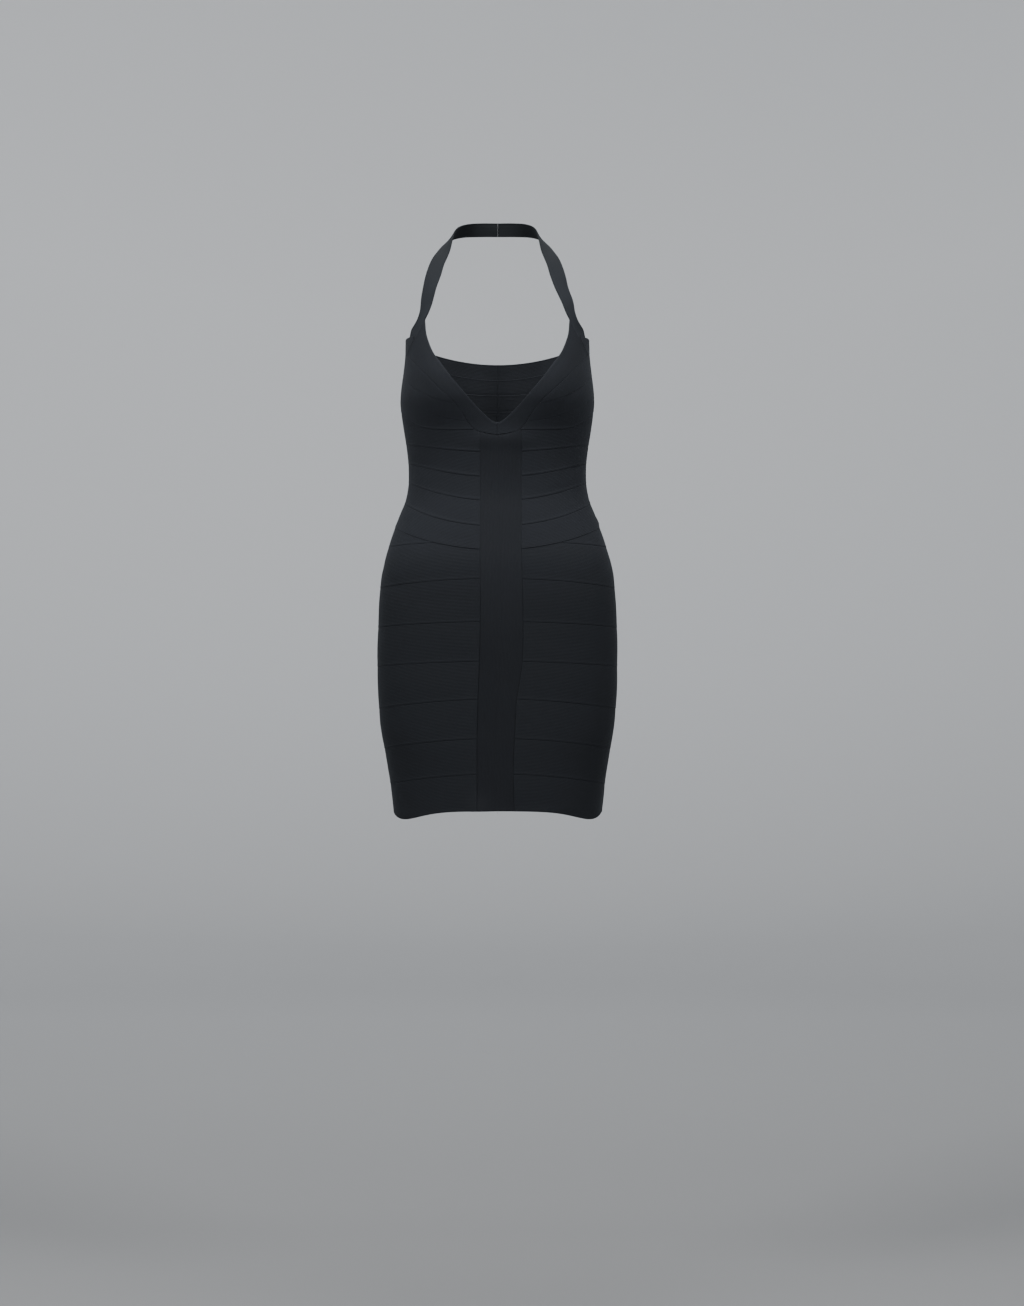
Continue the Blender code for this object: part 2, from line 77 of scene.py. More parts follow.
# The form under the cloth: a row for each section, as reaches from the middle of the torso.
SECTION_COLUMNS = ("z", "half_width", "front", "back", "square", "cup")
SECTIONS = (
    (-110.0, 122.0, 80.0, 84.0, 2.20, 0.0),
    (-140.0, 124.0, 88.0, 88.0, 2.20, 4.0),
    (-165.0, 125.0, 93.0, 91.0, 2.20, 9.0),
    (-190.0, 126.0, 97.0, 93.0, 2.20, 14.0),
    (-218.0, 129.5, 100.0, 93.0, 2.20, 17.0),
    (-244.0, 132.0, 100.0, 91.0, 2.20, 15.0),
    (-262.0, 130.5, 97.0, 88.0, 2.20, 10.0),
    (-285.0, 127.0, 92.0, 83.0, 2.15, 4.0),
    (-324.0, 121.6, 86.0, 74.0, 2.10, 0.0),
    (-352.0, 120.6, 83.0, 70.0, 2.10, 0.0),
    (-378.0, 124.0, 83.0, 74.0, 2.10, 0.0),
    (-406.0, 134.5, 87.0, 85.0, 2.10, 0.0),
    (-435.0, 145.0, 91.0, 96.0, 2.15, 0.0),
    (-462.0, 153.0, 94.0, 104.0, 2.20, 0.0),
    (-490.0, 158.7, 95.0, 109.0, 2.20, 0.0),
    (-545.0, 162.4, 95.0, 112.0, 2.20, 0.0),
    (-600.0, 163.6, 94.0, 109.0, 2.20, 0.0),
    (-645.0, 162.6, 93.0, 104.0, 2.20, 0.0),
    (-683.0, 160.0, 92.0, 99.0, 2.20, 0.0),
    (-711.0, 156.0, 91.5, 95.0, 2.20, 0.0),
    (-738.0, 151.0, 90.5, 92.0, 2.15, 0.0),
    (-766.0, 146.4, 89.5, 89.0, 2.15, 0.0),
    (-794.0, 142.8, 88.5, 86.5, 2.15, 0.0),
    (-825.0, 140.6, 87.5, 85.0, 2.15, 0.0),
)

# The seams round the body: their height at the middle front, the side and the middle back, and how
# late they leave the front's height on their way to the side.
SEAM_COLUMNS = ("front", "side", "back", "lateness")
SEAMS = {
    "cup_upper": (-258.5, -210.5, -229.0, 3.0),
    "cup_lower": (-279.0, -240.3, -252.0, 3.0),
    "underbust": (-289.5, -259.0, -276.0, 7.0),
    "bodice_1": (-319.5, -305.0, -305.0, 2.0),
    "bodice_2": (-353.0, -330.5, -330.5, 2.0),
    "bodice_3": (-385.5, -357.5, -357.5, 2.0),
    "bodice_4": (-420.0, -386.0, -386.0, 2.0),
    "waist": (-451.8, -418.8, -418.8, 2.0),
    "yoke": (-440.0, -446.0, -446.0, 2.0),
    "skirt_1": (-490.5, -502.0, -502.0, 2.0),
    "skirt_2": (-548.6, -556.0, -556.0, 2.0),
    "skirt_3": (-602.0, -609.5, -609.5, 2.0),
    "skirt_4": (-653.0, -667.5, -667.5, 2.0),
    "skirt_5": (-706.0, -722.0, -722.0, 2.0),
    "skirt_6": (-754.0, -770.0, -770.0, 2.0),
    "hem": (-804.5, -810.0, -810.0, 2.0),
}

# The hem hangs this much lower between the front and the sides, most where the square of the
# turn's sine is SAG_PEAK.
HEM_SAG = 9.0
SAG_PEAK = 0.75

BANDS = (
    ("midriff_band", "underbust", "bodice_1"),
    ("midriff_band_2", "bodice_1", "bodice_2"),
    ("waist_band", "bodice_2", "bodice_3"),
    ("waist_band_2", "bodice_3", "bodice_4"),
    ("waist_band_3", "bodice_4", "waist"),
    ("hip_band", "top_of_skirt", "skirt_1"),
    ("hip_band_2", "skirt_1", "skirt_2"),
    ("hip_band_3", "skirt_2", "skirt_3"),
    ("thigh_band", "skirt_3", "skirt_4"),
    ("thigh_band_2", "skirt_4", "skirt_5"),
    ("thigh_band_3", "skirt_5", "skirt_6"),
    ("hem_band", "skirt_6", "hem"),
)

# The neck bands' tab hangs a little below the underbust seam at the middle of the front.
TAB_DROP = 8.0
TAB_HALF_WIDTH = 31.0

# The front panel's edges and middle seam, which wander a little on their way down.
PANEL_COLUMNS = ("z", "right_edge", "middle", "left_edge")
PANEL = (
    (-280.0, -23.0, 1.0, 33.0),
    (-450.0, -22.8, 4.0, 33.0),
    (-549.0, -22.8, 5.5, 35.0),
    (-602.0, -24.0, 4.5, 34.0),
    (-628.0, -25.0, 3.0, 30.7),
    (-653.0, -26.0, 0.5, 26.5),
    (-706.0, -27.2, -2.0, 23.6),
    (-754.0, -27.2, -3.0, 21.8),
    (-815.0, -27.0, -2.5, 23.5),
)
PANEL_EDGES = {LEFT: "left_edge", RIGHT: "right_edge"}

# The soft creases that the stretched cloth falls into: troughs, and ridges where lift is above 0.
# Along and width are half lengths, and tilt is the crease's slope.
CREASE_COLUMNS = ("turn", "z", "along", "tilt", "width", "lift")
CREASES = (
    (88.0, -411.0, 20.0, 10.0, 4.0, 1.4),
    (-86.0, -417.0, 22.0, -8.0, 5.0, 0.3),
    (62.0, -338.0, 34.0, 12.0, 6.0, -0.6),
    (-66.0, -331.0, 40.0, -10.0, 7.0, -0.7),
    (-48.0, -395.0, 36.0, -14.0, 7.0, -0.5),
    (40.0, -372.0, 30.0, 12.0, 6.0, -0.4),
    (-30.0, -520.0, 40.0, 6.0, 10.0, -0.4),
    (34.0, -578.0, 46.0, -5.0, 12.0, -0.4),
    (70.0, -470.0, 50.0, 22.0, 9.0, -0.6),
    (-74.0, -485.0, 56.0, -20.0, 10.0, -0.7),
    (150.0, -330.0, 50.0, 8.0, 7.0, -1.1),
    (-146.0, -347.0, 44.0, -6.0, 6.0, -1.0),
    (158.0, -372.0, 38.0, 12.0, 7.0, -0.9),
    (-160.0, -389.0, 52.0, -4.0, 8.0, -1.1),
    (170.0, -300.0, 30.0, 0.0, 6.0, -0.6),
    (140.0, -655.0, 60.0, 4.0, 11.0, -0.9),
    (-138.0, -668.0, 66.0, -5.0, 12.0, -1.0),
    (-155.0, -700.0, 48.0, -3.0, 10.0, -0.6),
    (104.0, -560.0, 50.0, -70.0, 9.0, -0.4),
    (-100.0, -610.0, 60.0, 72.0, 10.0, -0.5),
    (47.0, -243.0, 26.0, 40.0, 6.0, -0.5),
    (-45.0, -232.0, 30.0, -42.0, 7.0, -0.5),
    (90.0, -790.0, 26.0, 90.0, 7.0, 1.3),
    (-9.0, -806.0, 15.0, 0.0, 19.0, 4.0),
    (-9.0, -303.0, 15.0, 0.0, 10.0, 1.7),
    (9.0, -303.0, 26.0, 0.0, 11.0, 2.4),
    (28.0, -803.0, 40.0, 0.0, 5.0, 0.5),
    (-58.0, -812.0, 36.0, 0.0, 5.0, 0.6),
)
DEGREE = 2.3
SWELL = 0.22

# How an edge is rounded off, how far a band reaches past its seams, and how far its middle bulges.
EDGE_ROUND = 0.35
EDGE_LEAST = 0.02
OVERLAP = 0.5
CROWN = 0.45
CROWN_FULL_TALL, CROWN_MOST = 50.0, 1.2

# How the cloth stands out near an edge, by how it is sewn. A rolled edge has one or two bulges, each
# a height, its distance in from the edge and its width. A sunk edge has a depth.
EDGE_BULGES = {
    "over": ((0.36, 1.9, 1.4), (0.1, 0.0, 4.0)),
    "lapped": ((0.62, 0.0, 7.0),),
    "flat": ((0.1, 1.6, 1.2),),
    "butt": ((-0.22, 0.0, 1.2),),
    "free": ((0.22, 2.2, 1.8),),
}
EDGE_SUNK = {"under": 0.24, "tucked": 0.2}
SUNK_WIDTH = 2.6

# The grid that the cloth is made on: its steps near an edge and away from it, and how many times a
# place that depends on itself is worked out.
END_STEPS = np.array((0.0, 0.2, 0.45, 0.75, 1.1, 1.5, 2.0, 2.6, 3.4, 4.6, 6.4))
COLUMN_STEP = 3.2
ROW_STEP = 5.0
ROUNDS = 12


def curve(keys, values, key):
    """A smooth curve through (keys, values), with keys rising, read at an array of keys."""
    keys, values = np.asarray(keys), np.asarray(values)
    slopes = np.empty(len(keys))
    slopes[1:-1] = (values[2:] - values[:-2]) / (keys[2:] - keys[:-2])
    slopes[0] = (values[1] - values[0]) / (keys[1] - keys[0])
    slopes[-1] = (values[-1] - values[-2]) / (keys[-1] - keys[-2])
    key = np.clip(key, keys[0], keys[-1])
    i = np.clip(np.searchsorted(keys, key, side="right") - 1, 0, len(keys) - 2)
    span = keys[i + 1] - keys[i]
    t = (key - keys[i]) / span
    start = (2 * t ** 3 - 3 * t ** 2 + 1) * values[i] + (t ** 3 - 2 * t ** 2 + t) * slopes[i] * span
    end = (3 * t ** 2 - 2 * t ** 3) * values[i + 1] + (t ** 3 - t ** 2) * slopes[i + 1] * span
    return start + end


def column(table, columns, name):
    """One named column of a table."""
    place = columns.index(name)
    return np.array([row[place] for row in table])


def at_height(table, columns, name, z):
    """A column's value at height z, for a table that runs downwards."""
    return curve(-column(table, columns, "z"), column(table, columns, name), -z)


def ease(x):
    """0 below 0, 1 above 1, with a smooth rise between."""
    x = np.clip(x, 0.0, 1.0)
    return x * x * (3 - 2 * x)


def form(turn, z):
    """The inner face of the cloth."""
    sine, cosine = np.sin(np.radians(turn)), np.cos(np.radians(turn))
    square = at_height(SECTIONS, SECTION_COLUMNS, "square", z)
    blow = (np.abs(sine) ** square + np.abs(cosine) ** square) ** (-1 / square)
    x = at_height(SECTIONS, SECTION_COLUMNS, "half_width", z) * blow * sine
    front = at_height(SECTIONS, SECTION_COLUMNS, "front", z)
    back = at_height(SECTIONS, SECTION_COLUMNS, "back", z)
    cup = at_height(SECTIONS, SECTION_COLUMNS, "cup", z) * ease(cosine / BUST_FADE)
    swell = cup * np.exp(-((np.abs(x) - BUST_APART) / BUST_SPREAD) ** 2)
    reach = np.where(cosine > 0, front, back)
    return np.stack([x, -TORSO_FORWARD - reach * blow * cosine - swell, z + 0 * x], axis=-1)


def unit(v):
    """The vectors at length 1."""
    return v / np.maximum(np.linalg.norm(v, axis=-1, keepdims=True), 1e-12)


def form_normal(turn, z):
    """The direction out of the cloth."""
    across = form(turn + 0.5, z) - form(turn - 0.5, z)
    up = form(turn, z + 1.0) - form(turn, z - 1.0)
    return unit(np.cross(across, up))


def turn_at(x, z):
    """The turn on the front, from 0 to 90, where the form is x from the middle."""
    low, high = np.zeros(np.shape(x)), np.full(np.shape(x), 90.0)
    for _ in range(30):
        middle = (low + high) / 2
        short = form(middle, z)[..., 0] < x
        low, high = np.where(short, middle, low), np.where(short, high, middle)
    return (low + high) / 2


def seam_line(name, turn):
    """The height of a seam at a turn."""
    if name == "top_of_skirt":
        return np.minimum(seam_line("waist", turn), seam_line("yoke", turn))
    row = dict(zip(SEAM_COLUMNS, SEAMS[name]))
    turn = np.abs(turn)
    sine = np.sin(np.radians(turn))
    front = row["front"] + (row["side"] - row["front"]) * sine ** row["lateness"]
    if name == "underbust":
        x = form(turn, front)[..., 0]
        front = front - TAB_DROP * np.maximum(0.0, 1 - (x / TAB_HALF_WIDTH) ** 2)
    if name == "hem":
        front = front - HEM_SAG * sine ** 6 * (1 - sine ** 2) / (SAG_PEAK ** 3 * (1 - SAG_PEAK))
    back = row["back"] + (row["side"] - row["back"]) * sine ** 2
    return np.where(turn >= SIDE_SEAM, back, front)


def line(name):
    """A seam as a function of the turn."""
    return lambda turn: seam_line(name, turn)


def creases(turn, z):
    """How far the creases and the cloth's slight unevenness move it out."""
    lift = SWELL * np.sin(turn / 11.0 + z / 37.0) * np.sin(z / 23.0 - turn / 29.0)
    for row in CREASES:
        crease = dict(zip(CREASE_COLUMNS, row))
        side = ((turn - crease["turn"] + 180) % 360 - 180) * DEGREE
        up = z - crease["z"]
        tilt = math.radians(crease["tilt"])
        along = side * math.cos(tilt) + up * math.sin(tilt)
        over = up * math.cos(tilt) - side * math.sin(tilt)
        lift += crease["lift"] * np.exp(-(along / crease["along"]) ** 2 - (over / crease["width"]) ** 2)
    return lift


def edge_lift(kind, far):
    """How far the cloth stands out at a distance from an edge, by how that edge is sewn."""
    if kind in EDGE_SUNK:
        return -EDGE_SUNK[kind] * (1 - ease(far / SUNK_WIDTH))
    return sum(height * np.exp(-((far - place) / width) ** 2) for height, place, width in EDGE_BULGES[kind])


def spaced(length, step):
    """Shares of a length: close together at both ends and a step apart between."""
    ends = END_STEPS * min(1.0, length / (3 * END_STEPS[-1]))
    inner = max(2, round((length - 2 * ends[-1]) / step))
    middle = np.linspace(ends[-1], length - ends[-1], inner + 1)[1:-1]
    return np.concatenate([ends, middle, length - ends[::-1]]) / length


def lengths(points):
    """How far along the columns each point of a grid lies, and how far up the rows."""
    across = np.linalg.norm(np.diff(points, axis=1), axis=-1)
    up = np.linalg.norm(np.diff(points, axis=0), axis=-1)
    u = np.concatenate([np.zeros((len(points), 1)), np.cumsum(across, axis=1)], axis=1)
    v = np.concatenate([np.zeros((1, points.shape[1])), np.cumsum(up, axis=0)], axis=0)
    return u, v


def knit_piece(name, points, normals, edges, lift, side, material, upright=False, show=1.0):
    """A thin shell of knit on a grid of points of its inner face, which stands for one CAD node.

    edges gives how the bottom, top, first and last edge are sewn, show how much of that can be seen,
    and lift what else moves the cloth out.
    """
    u, v = lengths(points)
    far = (v, v[-1:] - v, u, u[:, -1:] - u)
    moved = lift + show * sum(edge_lift(kind, distance) for kind, distance in zip(edges, far))
    nearest = np.minimum.reduce(far)
    round_off = np.clip(nearest / EDGE_ROUND, EDGE_LEAST, 1.0)
    thick = WALL * np.sqrt(1 - (1 - round_off) ** 2)
    middle = points + normals * (WALL / 2 + moved)[..., None]
    outer = middle + normals * (thick / 2)[..., None]
    inner = middle - normals * (thick / 2)[..., None]
    rows, columns = points.shape[:2]
    index = np.arange(rows * columns).reshape(rows, columns)
    quads = [np.stack([index[:-1, :-1], index[:-1, 1:], index[1:, 1:], index[1:, :-1]], -1)]
    quads.append(quads[0][..., ::-1] + rows * columns)
    rim = np.concatenate([index[0, :-1], index[:-1, -1], index[-1, :0:-1], index[:0:-1, 0]])
    ahead = np.roll(rim, -1)
    quads.append(np.stack([rim, rim + rows * columns, ahead + rows * columns, ahead], -1))
    faces = np.concatenate([part.reshape(-1, 4) for part in quads])
    if side == RIGHT:
        faces = faces[:, ::-1]
    places = np.concatenate([outer.reshape(-1, 3), inner.reshape(-1, 3)]) * (side, 1, 1) * MM
    mesh = bpy.data.meshes.new(name)
    mesh.from_pydata(places.tolist(), [], faces.tolist())
    mesh.shade_smooth()
    cloth = np.stack([v, u] if upright else [u, v], axis=-1).reshape(-1, 2) * MM
    cloth = np.concatenate([cloth, cloth]).astype(np.float32)
    corners = np.empty(len(mesh.loops), np.int32)
    mesh.loops.foreach_get("vertex_index", corners)
    mesh.uv_layers.new(name="cloth").data.foreach_set("uv", cloth[corners].ravel())
    mesh.materials.append(material)
    piece = bpy.data.objects.new(f"knit_{name}", mesh)
    bpy.context.scene.collection.objects.link(piece)
    grid = np.linalg.norm(np.cross(points[:-1, 1:] - points[:-1, :-1],
                                   points[1:, :-1] - points[:-1, :-1]), axis=-1)
    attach(piece, "root")
    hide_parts(name)
    return piece


class Wire:
    """A shader socket that can stand in a sum: each operator adds its Math node."""

    def __init__(self, tree, socket):
        self.tree = tree
        self.socket = socket

    @classmethod
    def node(cls, tree, kind, settings=None, output=0, **sockets):
        """A node of a type, with its settings, and values or links in its sockets by name."""
        made = tree.nodes.new(kind)
        for key, value in (settings or {}).items():
            setattr(made, key, value)
        for key, value in sockets.items():
            socket = made.inputs[int(key[1:])] if key[1:].isdigit() else made.inputs[key.replace("_", " ")]
            if isinstance(value, Wire):
                tree.links.new(value.socket, socket)
            else:
                socket.default_value = value
        return cls(tree, made.outputs[output])

    def maths(self, operation, first, second=0.0):
        return Wire.node(self.tree, "ShaderNodeMath", {"operation": operation}, s0=first, s1=second)

    def __add__(self, other):
        return self.maths("ADD", self, other)

    __radd__ = __add__

    def __sub__(self, other):
        return self.maths("SUBTRACT", self, other)

    def __rsub__(self, other):
        return self.maths("SUBTRACT", other, self)

    def __mul__(self, other):
        return self.maths("MULTIPLY", self, other)

    __rmul__ = __mul__

    def __abs__(self):
        return self.maths("ABSOLUTE", self)

    def sine(self):
        return self.maths("SINE", self)


# The rib's ridges run along a band, and each is a row of knitted loops. A fine fuzz lies over them,
# and the shade changes slowly from place to place.
RIB = 1.9 * MM
LOOP = 1.25 * MM
LOOP_SLANT = 2.2
FUZZ_SCALE = 2600.0
WEAR_SCALE = 23.0
RELIEF_DEPTH = 0.35 * MM


def knit_material(name, colour, lower_painted_colour, fade_top, fade_bottom):
    """Matt black rib knit whose colour changes between two heights, as painted light and shade."""
    material = bpy.data.materials.new(name)
    material.use_nodes = True
    tree = material.node_tree
    shader = tree.nodes["Principled BSDF"]
    cloth = Wire.node(tree, "ShaderNodeUVMap", {"uv_map": "cloth"})
    along = Wire.node(tree, "ShaderNodeSeparateXYZ", output=0, Vector=cloth)
    across = Wire.node(tree, "ShaderNodeSeparateXYZ", output=1, Vector=cloth)
    place = Wire.node(tree, "ShaderNodeTexCoord", output=3)
    height = Wire.node(tree, "ShaderNodeSeparateXYZ", output=2, Vector=place)
    ridge = abs((across * (math.pi / RIB)).sine())
    slant = abs((across * (math.pi / RIB) + math.pi / 2).sine())
    loops = (along * (2 * math.pi / LOOP) + slant * LOOP_SLANT).sine()
    fuzz = Wire.node(tree, "ShaderNodeTexNoise", Vector=cloth, Scale=FUZZ_SCALE, Detail=3.0)
    wear = Wire.node(tree, "ShaderNodeTexNoise", Vector=place, Scale=WEAR_SCALE, Detail=4.0)
    relief = ridge * 0.7 + loops * ridge * 0.22 + fuzz * 0.25
    # Painted light and shade: the colour changes with height down the piece.
    down = Wire.node(tree, "ShaderNodeMapRange", {"interpolation_type": "SMOOTHSTEP"},
                     Value=height, From_Min=fade_top * MM, From_Max=fade_bottom * MM)
    base = Wire.node(tree, "ShaderNodeMix", {"data_type": "RGBA"}, output=2,
                     s0=down, s6=(*colour, 1.0), s7=(*lower_painted_colour, 1.0))
    # The rib's valleys are painted darker, as the shade that falls in them; wear and fuzz add tone that
    # differs at random.
    shade = 0.66 + ridge * 0.22 + wear * 0.16 + fuzz * 0.14
    tint = Wire.node(tree, "ShaderNodeCombineColor", Red=shade, Green=shade, Blue=shade)
    paint = Wire.node(tree, "ShaderNodeMix", {"data_type": "RGBA", "blend_type": "MULTIPLY"}, output=2,
                      s0=1.0, s6=base, s7=tint)
    rough = 0.78 + wear * 0.12
    bump = Wire.node(tree, "ShaderNodeBump", Height=relief, Strength=0.55, Distance=RELIEF_DEPTH)
    tree.links.new(paint.socket, shader.inputs["Base Color"])
    tree.links.new(rough.socket, shader.inputs["Roughness"])
    tree.links.new(bump.socket, shader.inputs["Normal"])
    shader.inputs["Specular IOR Level"].default_value = 0.18
    shader.inputs["Sheen Weight"].default_value = 0.030
    shader.inputs["Sheen Roughness"].default_value = 0.42
    shader.inputs["Sheen Tint"].default_value = (0.78, 0.88, 1.0, 1.0)
    return material


# Painted shade: the bands' knit is painted darker from the hips down, where less light reaches the dress.
KNIT = (0.0156, 0.0176, 0.0220)
KNIT_LOW_SHADED = (0.0105, 0.0121, 0.0153)
band_knit = knit_material("band_knit", KNIT, KNIT_LOW_SHADED, -400.0, -540.0)

# A strip's height is the mean at some turns, and its length is measured at its lower seam's height
# under the arm.
TALL_TURNS = np.linspace(45, 170, 9)
TALL_LEAST = 8.0
LENGTH_TURN = 80.0
LENGTH_POINTS = 60


def round_strip(name, low, high, start, end, side, edges, show=lambda turn: 1.0):
    """A strip of cloth round the body, between two seams and from one turn to another."""
    tall = float(np.mean(high(TALL_TURNS) - low(TALL_TURNS)))
    rows = spaced(max(tall, TALL_LEAST), ROW_STEP)
    first = start(low, high, rows)
    last = end(low, high, rows)
    measured = form(np.linspace(first[0], last[0], LENGTH_POINTS), low(LENGTH_TURN))
    around = float(np.linalg.norm(np.diff(measured, axis=0), axis=1).sum())
    columns = spaced(around, COLUMN_STEP)
    turn = first[:, None] + (last - first)[:, None] * columns[None]
    bottom = low(turn) - (0.0 if edges[0] == "free" else OVERLAP)
    top = high(turn) + (0.0 if edges[1] == "free" else OVERLAP)
    share = rows[:, None]
    z = bottom + (top - bottom) * share
    crown = CROWN * (1 - (2 * share - 1) ** 2) * np.clip((top - bottom) / CROWN_FULL_TALL, 0.0, CROWN_MOST)
    lift = crown + creases(turn * side, z)
    return knit_piece(name, form(turn, z), form_normal(turn, z), edges, lift, side, band_knit,
                      show=show(turn))


def at_turn(turn):
    """A straight upright edge."""
    return lambda low, high, rows: np.full(len(rows), turn)


# Where the search for a place by the front panel begins.
PANEL_GUESS = 15.0


def at_panel(side):
    """The edge along the front panel."""
    def edge(low, high, rows):
        turn = np.full(len(rows), PANEL_GUESS)
        for _ in range(ROUNDS):
            z = low(turn) + (high(turn) - low(turn)) * rows
            turn = turn_at(np.abs(at_height(PANEL, PANEL_COLUMNS, PANEL_EDGES[side], z)), z)
        return turn
    return edge


def bodice_show(turn):
    """The bodice's seams are pulled flat towards the sides."""
    return 1.2 - 0.8 * np.sin(np.radians(turn)) ** 2


def skirt_show(turn):
    """The skirt's seams lie flatter than the bodice's."""
    return 0.65 + 0 * turn


for side in (LEFT, RIGHT):
    for name, high, low in BANDS:
        lower = {"waist": "lapped", "hem": "free"}.get(low, "over")
        in_skirt = name.startswith(("hip", "thigh", "hem"))
        by_panel = "over" if in_skirt else "flat"
        show = skirt_show if in_skirt else bodice_show
        piece = round_strip(f"{name}_{SIDE_NAMES[side]}", line(low), line(high), at_panel(side),
                            at_turn(BACK_SEAM), side, (lower, "under", by_panel, "butt"), show)

# ==================================================================== the hip wedges
# A narrow wedge of the same knit fills the gap between the bodice's slanting lower edge and the
# first level seam of the skirt. It runs out to a point on the front of each hip.

BAND_TIP = 1.5
TIP_STEP = 0.25


def tip_turn(low, high):
    """Where two seams that start from one point are first a tip's height apart."""
    turns = np.arange(PANEL_GUESS, SIDE_SEAM, TIP_STEP)
    return turns[np.argmax(high(turns) - low(turns) >= BAND_TIP)]


for side in (LEFT, RIGHT):
    low, high = line("yoke"), line("waist")
    round_strip(f"hip_wedge_{SIDE_NAMES[side]}", low, high, at_turn(tip_turn(low, high)),
                at_turn(BACK_SEAM), side, ("over", "under", "free", "butt"),
                skirt_show)

# ==================================================================== the neck bands
# The band along each side of the deep neckline. It is folded at the neckline, and the two meet in a
# mitred seam at the middle, where the tension pulls the cloth below the point into a soft ridge.

NECK_COLUMNS = ("neck_x", "neck_z", "seam_x", "seam_z")
NECK_BAND = (
    (97.4, -139.5, 122.0, -184.0),
    (96.2, -155.0, 117.0, -189.5),
    (93.0, -168.0, 110.0, -198.0),
    (85.5, -186.0, 101.0, -209.0),
    (73.5, -203.5, 89.5, -222.0),
    (59.3, -223.0, 75.5, -236.0),
    (43.5, -241.5, 60.0, -250.5),
    (28.5, -258.5, 46.0, -268.0),
    (14.5, -272.0, 31.0, -288.8),
    (5.5, -278.8, 15.0, -294.2),
    (0.0, -280.2, 0.0, -296.6),
)
NECK_LENGTH = 200.0
NECK_WIDTH = 24.0
NECK_STEP = 2.6
MITRE_GAP = 0.05

for side in (LEFT, RIGHT):
    along = spaced(NECK_LENGTH, NECK_STEP)[None]
    across = spaced(NECK_WIDTH, NECK_STEP)[:, None]
    keys = np.linspace(0, 1, len(NECK_BAND))
    row = {name: curve(keys, column(NECK_BAND, NECK_COLUMNS, name), 1 - along) for name in NECK_COLUMNS}
    x = row["seam_x"] + (row["neck_x"] - row["seam_x"]) * across
    z = row["seam_z"] + (row["neck_z"] - row["seam_z"]) * across
    turn = turn_at(x + MITRE_GAP, z)
    lift = CROWN * (1 - (2 * across - 1) ** 2) + creases(turn * side, z)
    knit_piece(f"neck_band_{SIDE_NAMES[side]}", form(turn, z), form_normal(turn, z),
               ("flat", "free", "over", "free"), lift, side, band_knit)

# ==================================================================== the cups' bands
# Three more bands shape each cup. They start at the neck band's seam or at the front panel, and
# rise to the side seam, where the back's bands go on from them.

CUP_SEAM_EASE = 0.3
CUP_EDGE_CLEAR = 1.6
CUP_GUESS = 20.0
CUP_PULL = 0.6
UNDERARM_TOP_SIDE, UNDERARM_TOP_BACK = -160.0, -185.0
UNDERARM_LOW_SIDE, UNDERARM_LOW_BACK = -179.0, -207.0
cup_tip = dict(zip(NECK_COLUMNS, NECK_BAND[0]))
cup_end = float(turn_at(np.array(cup_tip["seam_x"]), np.array(cup_tip["seam_z"])))


def underarm_low(turn):
    """The underarm band's lower seam: along the cup's outer edge, then round to the back."""
    turn = np.asarray(turn, float)
    steep = (cup_tip["seam_z"] - cup_tip["neck_z"]) / (cup_tip["seam_x"] - cup_tip["neck_x"])
    edge = np.full(turn.shape, cup_tip["seam_z"])
    for _ in range(ROUNDS):
        edge = cup_tip["neck_z"] + steep * (form(turn, edge)[..., 0] - cup_tip["neck_x"])
    rise = ease((turn - cup_end) / (SIDE_SEAM - cup_end))
    side = cup_tip["seam_z"] + (UNDERARM_LOW_SIDE - cup_tip["seam_z"]) * rise
    fall = np.cos(np.radians(turn)) ** 2
    back = UNDERARM_LOW_SIDE + (UNDERARM_LOW_BACK - UNDERARM_LOW_SIDE) * fall
    return np.where(turn < cup_end, edge + CUP_EDGE_CLEAR, np.where(turn < SIDE_SEAM, side, back))


def underarm_top(turn):
    """The open edge under the arm and across the back."""
    turn = np.asarray(turn, float)
    fall = np.cos(np.radians(turn)) ** 2
    back = UNDERARM_TOP_SIDE + (UNDERARM_TOP_BACK - UNDERARM_TOP_SIDE) * fall
    return np.where(turn < SIDE_SEAM, UNDERARM_TOP_SIDE, back)


def cup_top(turn):
    """The upper cup band's top: along the neck band's seam, then under the underarm band."""
    turn = np.asarray(turn, float)
    places, heights = (column(NECK_BAND, NECK_COLUMNS, name)[::-1] for name in ("seam_x", "seam_z"))
    z = np.full(turn.shape, UNDERARM_LOW_SIDE)
    for _ in range(ROUNDS):
        z = z + (curve(places, heights, form(turn, z)[..., 0]) - z) * CUP_PULL
    return np.where(turn > cup_end, underarm_low(turn), z - CUP_SEAM_EASE)


def at_cup_seam(low, high, rows):
    """The edge of a cup's band along the neck band."""
    turn = np.full(len(rows), CUP_GUESS)
    heights, places = (column(NECK_BAND, NECK_COLUMNS, name) for name in ("seam_z", "seam_x"))
    for _ in range(ROUNDS):
        z = low(turn) + (high(turn) - low(turn)) * rows
        turn = turn_at(np.maximum(curve(-heights, places, -z), TAB_HALF_WIDTH), z)
    return turn


for side in (LEFT, RIGHT):
    word = SIDE_NAMES[side]
    upper_tip = at_turn(tip_turn(line("cup_upper"), cup_top))
    round_strip(f"cup_upper_band_{word}", line("cup_upper"), cup_top, upper_tip, at_turn(SIDE_SEAM),
                side, ("flat", "tucked", "tucked", "butt"))
    round_strip(f"cup_middle_band_{word}", line("cup_lower"), line("cup_upper"), at_cup_seam,
                at_turn(SIDE_SEAM), side, ("flat", "tucked", "tucked", "butt"))
    round_strip(f"cup_lower_band_{word}", line("underbust"), line("cup_lower"), at_cup_seam,
                at_turn(SIDE_SEAM), side, ("over", "tucked", "tucked", "butt"))

# ==================================================================== the underarm bands
# The top band goes from the end of the strap, under the arm and across the back. Its upper edge is
# folded, and its front end is caught in the corner between the strap and the cup.

UNDERARM_START = {"turn": 60.0, "top_x": 113.4, "low_x": 112.6}


